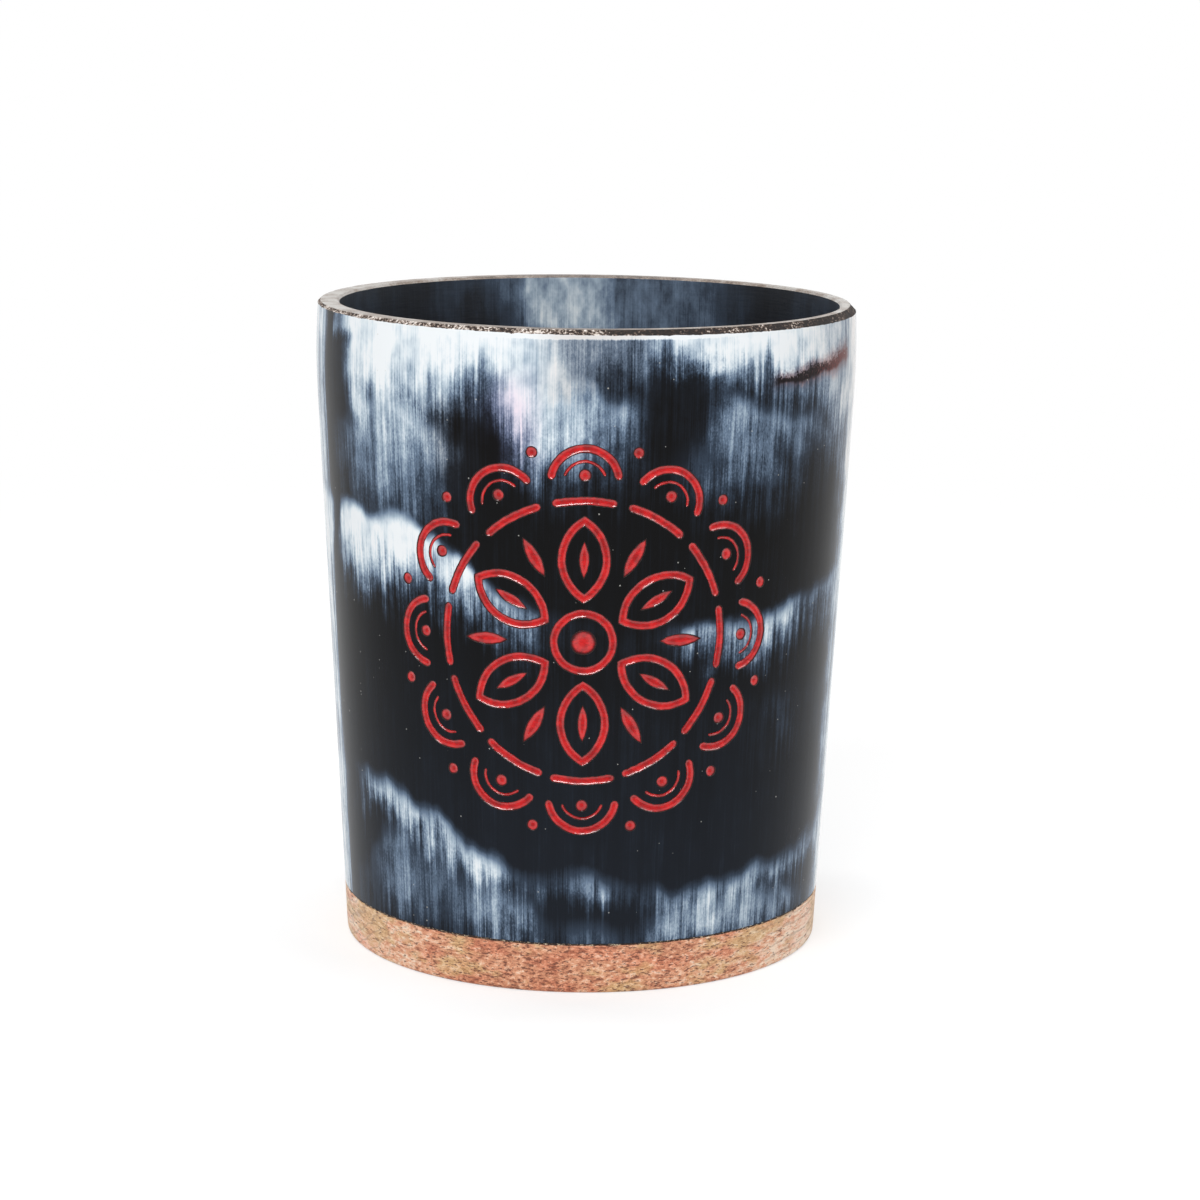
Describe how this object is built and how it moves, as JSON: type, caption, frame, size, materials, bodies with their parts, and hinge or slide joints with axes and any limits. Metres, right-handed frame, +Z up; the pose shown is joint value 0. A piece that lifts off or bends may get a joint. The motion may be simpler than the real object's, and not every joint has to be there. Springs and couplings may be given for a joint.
{
  "type": "horn drinking cup",
  "caption": "Tapered drinking cup of dark mottled horn with a turned wooden base and an engraved rosette filled with red enamel.",
  "frame": {"origin": "centre of the wooden base's underside, on the surface the cup stands on", "axes": "+Z up along the cup's axis to the rim, -Y towards the engraved front, +X to the right as the picture shows the cup"},
  "size_m": [0.0794, 0.0794, 0.095],
  "materials": {
    "horn": "polished horn, near-black with white and blue-grey clouds",
    "wood": "smooth turned hardwood, thinly oiled",
    "glue": "dark set glue",
    "seal_coat": "clear food-safe seal coat over wood",
    "enamel": "glossy red enamel"
  },
  "bodies": {
    "root": {"horn_sleeve": "horn", "wooden_base": "wood", "glue_film": "glue", "floor_seal": "seal_coat", "enamel_boss": "enamel", "enamel_eye_ring": "enamel", "enamel_petals": "enamel", "enamel_veins": "enamel", "enamel_leaves": "enamel", "enamel_band_arcs": "enamel", "enamel_scallops": "enamel", "enamel_fine_arcs": "enamel", "enamel_seeds": "enamel", "enamel_beads": "enamel"}
  },
  "joints": []
}
